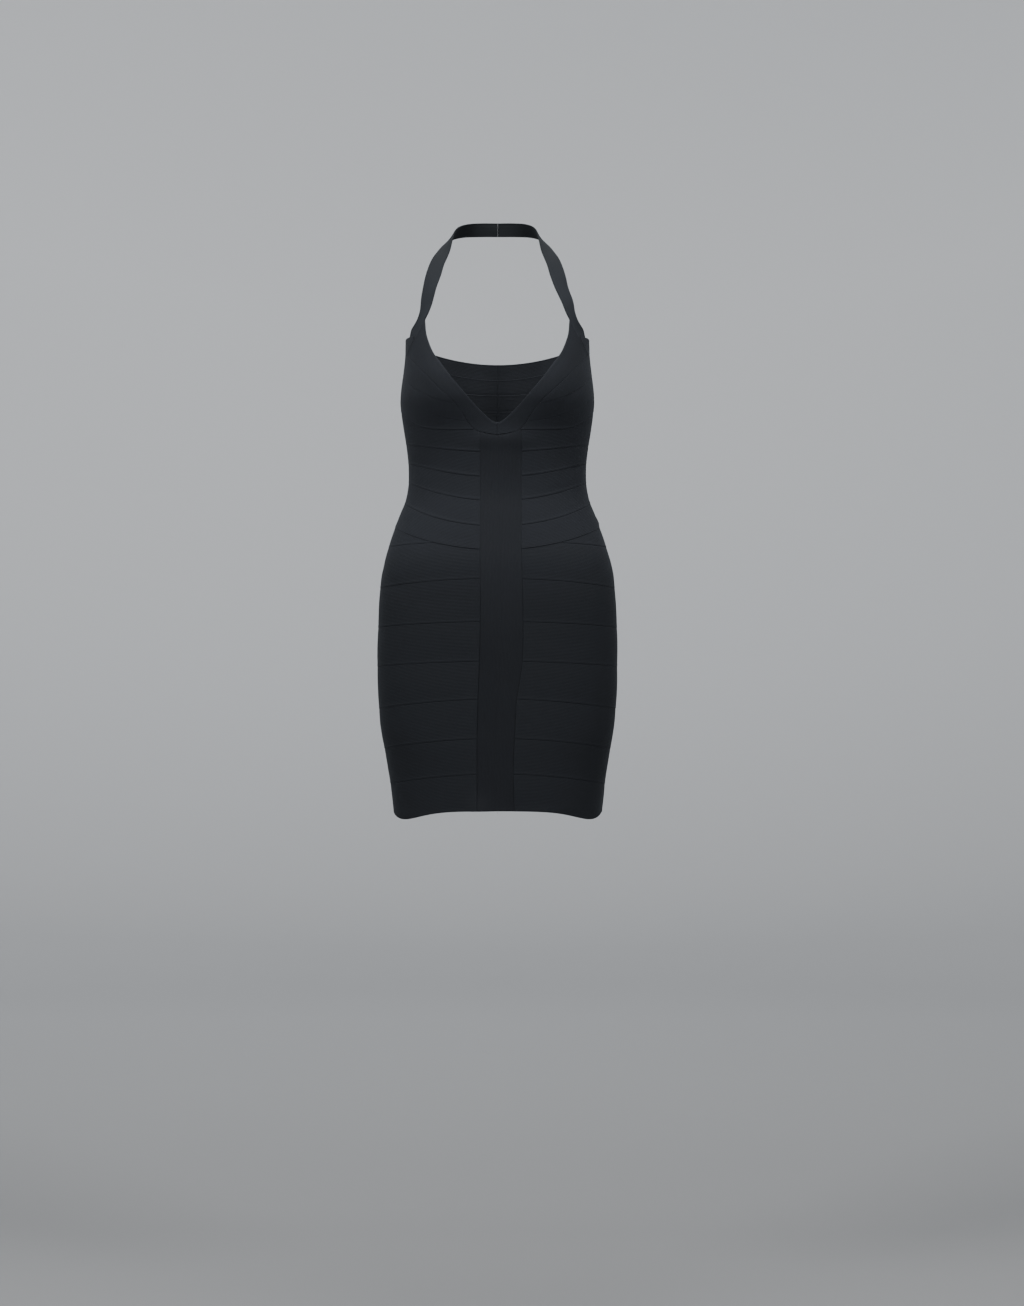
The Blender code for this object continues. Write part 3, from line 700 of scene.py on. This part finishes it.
def at_strap(low, high, rows):
    """The short slanting end by the strap."""
    x = UNDERARM_START["low_x"] + (UNDERARM_START["top_x"] - UNDERARM_START["low_x"]) * rows
    bottom, top = (float(edge(UNDERARM_START["turn"])) for edge in (low, high))
    return turn_at(x, bottom + (top - bottom) * rows)


for side in (LEFT, RIGHT):
    round_strip(f"underarm_band_{SIDE_NAMES[side]}", underarm_low, underarm_top, at_strap,
                at_turn(BACK_SEAM), side, ("flat", "free", "free", "butt"))

# ==================================================================== the back's bands
# Three bands go on from the cups' bands at the side seam, and meet the other side's at the middle
# of the back.

BACK_BANDS = (
    ("back_upper_band", line("cup_upper"), underarm_low, "underarm_band"),
    ("back_middle_band", line("cup_lower"), line("cup_upper"), "back_upper_band"),
    ("back_lower_band", line("underbust"), line("cup_lower"), "back_middle_band"),
)
for side in (LEFT, RIGHT):
    for name, low, high, over in BACK_BANDS:
        round_strip(f"{name}_{SIDE_NAMES[side]}", low, high, at_turn(SIDE_SEAM), at_turn(BACK_SEAM),
                    side, ("over", "tucked", "butt", "butt"))

# ==================================================================== the front panel
# Two upright bands down the middle of the front, with a seam between them. Their rib runs up and
# down and takes less of the light from above, so their colour is painted darker than the level
# bands' as shade, and darker still towards the hem. The level bands' ends are sewn over their edges.

# Painted shade: darker than the level bands' knit, and darker again below the hips.
PANEL_SHADED_COLOUR = (0.0134, 0.0150, 0.0188)
PANEL_LOW_SHADED_COLOUR = (0.0089, 0.0101, 0.0130)
PANEL_SUNK = 0.4
PANEL_TURN = 5.0
PANEL_TALL = 515.0
PANEL_WIDE = 28.0
PANEL_STEP = 3.0
PANEL_CROWN = 0.3
SINKS_FROM, SINKS_OVER = 440.0, 140.0
panel_knit = knit_material("panel_knit", PANEL_SHADED_COLOUR, PANEL_LOW_SHADED_COLOUR, -450.0, -600.0)

for side in (LEFT, RIGHT):
    share = spaced(PANEL_TALL, ROW_STEP)[:, None]
    across = spaced(PANEL_WIDE, PANEL_STEP)[None]
    z = seam_line("hem", PANEL_TURN) * (1 - share) + seam_line("underbust", PANEL_TURN) * share + 0 * across
    for _ in range(ROUNDS):
        outer = np.abs(at_height(PANEL, PANEL_COLUMNS, PANEL_EDGES[side], z)) + OVERLAP
        inner = side * at_height(PANEL, PANEL_COLUMNS, "middle", z) - (2 * OVERLAP if side == RIGHT else 0.0)
        x = inner + (outer - inner) * across
        turn = np.sign(x) * turn_at(np.abs(x), z)
        z = seam_line("hem", turn) * (1 - share) + (seam_line("underbust", turn) + OVERLAP) * share
    sunk = PANEL_SUNK * ease((-z - SINKS_FROM) / SINKS_OVER)
    lift = PANEL_CROWN * (1 - (2 * across - 1) ** 2) + creases(turn * side, z) - sunk
    at_middle = "flat" if side == LEFT else "tucked"
    knit_piece(f"front_panel_{SIDE_NAMES[side]}", form(turn, z), form_normal(turn, z),
               ("free", "tucked", at_middle, "tucked"), lift, side, panel_knit,
               upright=True)

# ==================================================================== the halter strap
# A flat knitted strap goes round the neck, with a seam behind it. Each end runs down behind the
# cup's tip and is sewn to the cup's outer edge, down to the corner of the armhole.

UNDERLAP = 1.7
STRAP_COLUMNS = ("inner_x", "inner_y", "inner_z", "outer_x", "outer_y", "outer_z")
STRAP = (
    (0.0, -1.2, 9.5, 0.0, 1.2, -9.5),
    (22.0, -5.0, 9.0, 24.5, -2.0, -10.0),
    (41.0, -17.0, 5.5, 47.0, -11.5, -12.5),
    (53.5, -36.0, -3.5, 61.5, -27.0, -18.5),
    (58.5, -54.6, -20.0, 72.5, -46.0, -29.0),
    (61.8, -70.2, -37.0, 80.3, -62.0, -40.0),
    (65.8, -81.4, -49.4, 86.3, -74.0, -49.8),
    (70.1, -91.0, -61.0, 90.8, -82.5, -60.5),
    (74.1, -100.6, -76.4, 95.5, -92.0, -76.4),
    (79.9, -109.3, -93.5, 98.8, -97.5, -93.5),
    (85.9, -113.8, -110.5, 102.9, -101.0, -110.0),
    (93.8, None, -126.0, 107.4, None, -125.0),
    (99.8, None, -138.0, 111.0, None, -135.8),
    (104.5, None, -150.5, 115.4, None, -142.8),
    (111.0, None, -162.5, 119.8, None, -149.5),
    (117.5, None, -173.0, 123.2, None, -163.5),
)
# The strap's colour is painted with light and shade: darker behind the neck, and paler lower down, where the
# light falls on it.
STRAP_NECK_SHADED_COLOUR = (0.0100, 0.0118, 0.0140)
STRAP_LOW_LIT_COLOUR = (0.0180, 0.0206, 0.0254)
STRAP_DRIFT = -2.5
DRIFT_FROM, DRIFT_TO, DRIFT_FADE = 0.25, 0.58, 0.13
STRAP_LENGTH = 270.0
STRAP_WIDTH = 19.0
STRAP_STEP_ALONG, STRAP_STEP_ACROSS = 3.0, 2.4
STRAP_WAVE, STRAP_WAVINESS = 0.35, 17.0
strap_knit = knit_material("strap_knit", STRAP_NECK_SHADED_COLOUR, STRAP_LOW_LIT_COLOUR, -20.0, -125.0)

rails = []
for row in STRAP:
    row = dict(zip(STRAP_COLUMNS, row))
    ends = []
    for edge in ("inner", "outer"):
        x, y, z = (row[f"{edge}_{axis}"] for axis in "xyz")
        if y is None:
            turn = turn_at(np.array(x), np.array(z))
            ends.append(form(turn, z) - (WALL + UNDERLAP) * form_normal(turn, z))
        else:
            ends.append(np.array((x, y, z)))
    rails.append(ends)
rails = np.array(rails)
keys = np.linspace(0, 1, len(rails))
for side in (LEFT, RIGHT):
    along = spaced(STRAP_LENGTH, STRAP_STEP_ALONG)
    across = spaced(STRAP_WIDTH, STRAP_STEP_ACROSS)[:, None, None]
    edges = [np.stack([curve(keys, rails[:, i, axis], along) for axis in range(3)], -1) for i in (0, 1)]
    points = edges[0][None] + (edges[1] - edges[0])[None] * across
    swing = ease(along / DRIFT_FROM) * ease((DRIFT_TO + DRIFT_FADE - along) / DRIFT_FADE)
    points[..., 0] += side * STRAP_DRIFT * swing[None]
    normals = unit(np.cross(np.gradient(points, axis=1), np.gradient(points, axis=0)))
    wave = STRAP_WAVE * np.sin(along * STRAP_WAVINESS + side)[None] * (1 - (2 * across[..., 0] - 1) ** 2)
    knit_piece(f"halter_strap_{SIDE_NAMES[side]}", points, normals, ("free", "free", "butt", "free"),
               wave, side, strap_knit)

# ==================================================================== the seams' stitches
# Each seam is closed by a row of small overlock stitches of the same black yarn, which lie just
# below the level seams and just inside the panel's edge.

STITCH_PITCH = 2.6 * MM
STITCH_LENGTH = 1.0 * MM
STITCH_THICK = 0.2 * MM
STITCH_DEPTH = 0.24
STITCH_BELOW = 0.3
STITCH_ASIDE = 0.2
RUN_END = 179.8

# The rows that go up and down: the turn, and the heights that each runs between.
PANEL_RUN = (-450.0, -800.0)
UPRIGHT_RUNS = ((SIDE_SEAM, -180.0, -262.0), (BACK_SEAM, -187.0, -816.0))
UPRIGHT_POINTS = 120

seam_runs = []
for side in (LEFT, RIGHT):
    turns = np.linspace(17.0, RUN_END, 160)
    for seam in [low for _, _, low in BANDS[:-1]] + ["yoke"]:
        at = turns[turns > tip_turn(line("yoke"), line("waist"))] if seam == "yoke" else turns
        seam_runs.append((side, at, seam_line(seam, at) - OVERLAP - STITCH_BELOW))
    turns = np.linspace(22.0, RUN_END, 150)
    for seam in ("cup_upper", "cup_lower", "underbust"):
        seam_runs.append((side, turns, seam_line(seam, turns) - OVERLAP - STITCH_BELOW))
    turns = np.linspace(cup_end, RUN_END, 110)
    seam_runs.append((side, turns, underarm_low(turns) - OVERLAP - STITCH_BELOW))
    z = np.linspace(*PANEL_RUN, UPRIGHT_POINTS)
    x = np.abs(at_height(PANEL, PANEL_COLUMNS, PANEL_EDGES[side], z)) - STITCH_ASIDE
    seam_runs.append((side, turn_at(x, z), z))
    for turn, top, bottom in UPRIGHT_RUNS:
        z = np.linspace(top, bottom, UPRIGHT_POINTS)
        if side == LEFT or turn == SIDE_SEAM:
            seam_runs.append((side, np.full(len(z), turn), z))

guide = bmesh.new()
for side, turn, z in seam_runs:
    run = (form(turn, z) + form_normal(turn, z) * (WALL - STITCH_DEPTH)) * (side, 1, 1) * MM
    knots = [guide.verts.new(point) for point in run]
    for start, end in zip(knots, knots[1:]):
        guide.edges.new((start, end))
guide_mesh = bpy.data.meshes.new("seam_guide")
guide.to_mesh(guide_mesh)
guide.free()
guide_object = bpy.data.objects.new("seam_guide", guide_mesh)
bpy.context.scene.collection.objects.link(guide_object)

YARN_DARK = (0.008, 0.009, 0.011, 1.0)
YARN_PALE = (0.014, 0.016, 0.020, 1.0)
yarn = bpy.data.materials.new("seam_yarn")
yarn.use_nodes = True
yarn_shader = yarn.node_tree.nodes["Principled BSDF"]
ply = Wire.node(yarn.node_tree, "ShaderNodeTexCoord", output=3)
strands = Wire.node(yarn.node_tree, "ShaderNodeTexNoise", Vector=ply, Scale=3200.0, Detail=2.0)
colours = Wire.node(yarn.node_tree, "ShaderNodeMix", {"data_type": "RGBA"}, output=2, s0=strands,
                    s6=YARN_DARK, s7=YARN_PALE)
yarn.node_tree.links.new(colours.socket, yarn_shader.inputs["Base Color"])
yarn_shader.inputs["Roughness"].default_value = 0.8
yarn_shader.inputs["Specular IOR Level"].default_value = 0.15

tree = bpy.data.node_groups.new("stitches", "GeometryNodeTree")
tree.interface.new_socket("Geometry", in_out="INPUT", socket_type="NodeSocketGeometry")
SIZES = {"Pitch": STITCH_PITCH, "Length": STITCH_LENGTH, "Thick": STITCH_THICK}
for name, size in SIZES.items():
    socket = tree.interface.new_socket(name, in_out="INPUT", socket_type="NodeSocketFloat")
    socket.default_value = size
tree.interface.new_socket("Geometry", in_out="OUTPUT", socket_type="NodeSocketGeometry")
into = tree.nodes.new("NodeGroupInput")
out = tree.nodes.new("NodeGroupOutput")
given = {name: Wire(tree, into.outputs[name]) for name in ("Geometry", *SIZES)}
path = Wire.node(tree, "GeometryNodeMeshToCurve", Mesh=given["Geometry"])
beads = Wire.node(tree, "GeometryNodeResampleCurve", {"mode": "LENGTH"}, Curve=path, Length=given["Pitch"])
bead = Wire.node(tree, "GeometryNodeMeshIcoSphere", Radius=1.0, Subdivisions=1)
tangent = Wire.node(tree, "GeometryNodeInputTangent")
aim = Wire.node(tree, "FunctionNodeAlignRotationToVector", {"axis": "X"}, Vector=tangent)
size = Wire.node(tree, "ShaderNodeCombineXYZ", X=given["Length"], Y=given["Thick"], Z=given["Thick"])
rows = Wire.node(tree, "GeometryNodeInstanceOnPoints", Points=beads, Instance=bead, Rotation=aim,
                 Scale=size)
real = Wire.node(tree, "GeometryNodeRealizeInstances", Geometry=rows)
finished = Wire.node(tree, "GeometryNodeSetMaterial", Geometry=real, Material=yarn)
tree.links.new(finished.socket, out.inputs["Geometry"])

sewing = guide_object.modifiers.new("stitches", "NODES")
sewing.node_group = tree
for item in tree.interface.items_tree:
    if item.in_out == "INPUT" and item.name in SIZES:
        sewing[item.identifier] = SIZES[item.name]
ready = guide_object.evaluated_get(bpy.context.evaluated_depsgraph_get())
stitch_mesh = bpy.data.meshes.new_from_object(ready)
stitch_mesh.name = "seam_stitches"
bpy.data.objects.remove(guide_object)
stitch_mesh.shade_smooth()
stitches = bpy.data.objects.new("seam_stitches", stitch_mesh)
bpy.context.scene.collection.objects.link(stitches)
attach(stitches, "root")

# ==================================================================== the studio
# A plain pale room with a floor that sweeps up into the wall, two large soft lamps high on either
# side of the camera, one overhead, and the camera straight in front at the height of the hips.

FLOOR_Z = -1.55
ROOM_RADIUS = 6.5
SWEEP = 2.2
ROOM_TOP = 6.0
SWEEP_STEPS = 16
ROOM_SIDES = 96

# Light and shade are painted into the plaster: it gets paler from the front of the floor up the wall,
# and a little darker to the right. Each row is how far back and up a place is, in metres, and how
# pale the plaster is there.
PAINTED_WALL_LIGHT = (
    (-0.8, 0.228),
    (-0.1, 0.270),
    (0.75, 0.34),
    (1.95, 0.43),
    (3.3, 0.48),
    (3.95, 0.56),
    (4.5, 0.62),
    (5.4, 0.72),
    (6.2, 0.80),
    (7.1, 0.89),
    (8.1, 0.87),
)
PLASTER_SIDE_SHADE = 0.02
PLASTER_RED, PLASTER_BLUE = 0.985, 1.02

profile = [(0.0, FLOOR_Z), (ROOM_RADIUS - SWEEP, FLOOR_Z)]
for step in range(1, SWEEP_STEPS + 1):
    bend = math.radians(90 * step / SWEEP_STEPS)
    profile.append((ROOM_RADIUS - SWEEP + SWEEP * math.sin(bend), FLOOR_Z + SWEEP * (1 - math.cos(bend))))
profile.append((ROOM_RADIUS, ROOM_TOP))
room_mesh = bmesh.new()
points = [room_mesh.verts.new((x, 0.0, z)) for x, z in profile]
edges = [room_mesh.edges.new(pair) for pair in zip(points, points[1:])]
bmesh.ops.spin(room_mesh, geom=points + edges, cent=(0, 0, 0), axis=(0, 0, 1), angle=2 * math.pi,
               steps=ROOM_SIDES, use_merge=True)
bmesh.ops.remove_doubles(room_mesh, verts=room_mesh.verts, dist=0.0001)
bmesh.ops.recalc_face_normals(room_mesh, faces=room_mesh.faces)
room_data = bpy.data.meshes.new("room")
room_mesh.to_mesh(room_data)
room_mesh.free()
room_data.shade_smooth()
room = bpy.data.objects.new("room", room_data)
bpy.context.scene.collection.objects.link(room)
plaster = bpy.data.materials.new("plaster")
plaster.use_nodes = True
plaster_tree = plaster.node_tree
plaster_place = Wire.node(plaster_tree, "ShaderNodeTexCoord", output=3)
sideways, back, up = (Wire.node(plaster_tree, "ShaderNodeSeparateXYZ", output=i, Vector=plaster_place)
                      for i in range(3))
stops = [back_and_up for back_and_up, _ in PAINTED_WALL_LIGHT]
share = (back + up - stops[0]) * (1 / (stops[-1] - stops[0]))
ramp = Wire.node(plaster_tree, "ShaderNodeValToRGB", s0=share)
shades = ramp.socket.node.color_ramp
while len(shades.elements) < len(PAINTED_WALL_LIGHT):
    shades.elements.new(1.0)
for element, (back_and_up, pale) in zip(shades.elements, PAINTED_WALL_LIGHT):
    element.position = (back_and_up - stops[0]) / (stops[-1] - stops[0])
    element.color = (pale, pale, pale, 1.0)
side_shade = 1.0 - sideways * PLASTER_SIDE_SHADE
tone = Wire.node(plaster_tree, "ShaderNodeCombineColor", Red=side_shade * PLASTER_RED, Green=side_shade,
                 Blue=side_shade * PLASTER_BLUE)
plaster_colour = Wire.node(plaster_tree, "ShaderNodeMix", {"data_type": "RGBA", "blend_type": "MULTIPLY"},
                           output=2, s0=1.0, s6=ramp, s7=tone)
plaster_shader = plaster_tree.nodes["Principled BSDF"]
plaster_tree.links.new(plaster_colour.socket, plaster_shader.inputs["Base Color"])
plaster_shader.inputs["Roughness"].default_value = 0.9
room_data.materials.append(plaster)
room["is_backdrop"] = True

# Each lamp: its name, where it stands, how wide it is, and its watts.
LAMPS = (
    ("lamp_left", (-2.6, -3.0, 1.9), 1.3, 137.0),
    ("lamp_right", (2.6, -3.0, 1.9), 1.3, 115.0),
    ("lamp_above", (0.0, -0.6, 2.6), 2.4, 100.0),
)
AIM = Vector((0.0, 0.0, -0.5))
for name, place, width, watts in LAMPS:
    light = bpy.data.lights.new(name, "AREA")
    light.size = width
    light.energy = watts
    lamp = bpy.data.objects.new(name, light)
    lamp.location = place
    lamp.rotation_euler = (AIM - Vector(place)).to_track_quat("-Z", "Y").to_euler()
    bpy.context.scene.collection.objects.link(lamp)

DAYLIGHT = (0.93, 0.96, 1.0, 1.0)
DAYLIGHT_STRENGTH = 0.62
world = bpy.data.worlds.new("studio")
world.use_nodes = True
world.node_tree.nodes["Background"].inputs["Color"].default_value = DAYLIGHT
world.node_tree.nodes["Background"].inputs["Strength"].default_value = DAYLIGHT_STRENGTH
bpy.context.scene.world = world

CAMERA_FAR = 4.0
CAMERA_SIDE = 0.020
CAMERA_Z = -0.591
VIEW_TALL = 1.80
lens = bpy.data.cameras.new("camera")
lens.sensor_width = 36.0
lens.lens = lens.sensor_width * CAMERA_FAR / VIEW_TALL
camera = bpy.data.objects.new("camera", lens)
camera.location = (CAMERA_SIDE, -TORSO_FORWARD * MM - CAMERA_FAR, CAMERA_Z)
camera.rotation_euler = (math.radians(90), 0, 0)
bpy.context.scene.collection.objects.link(camera)
bpy.context.scene.camera = camera

low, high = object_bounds()
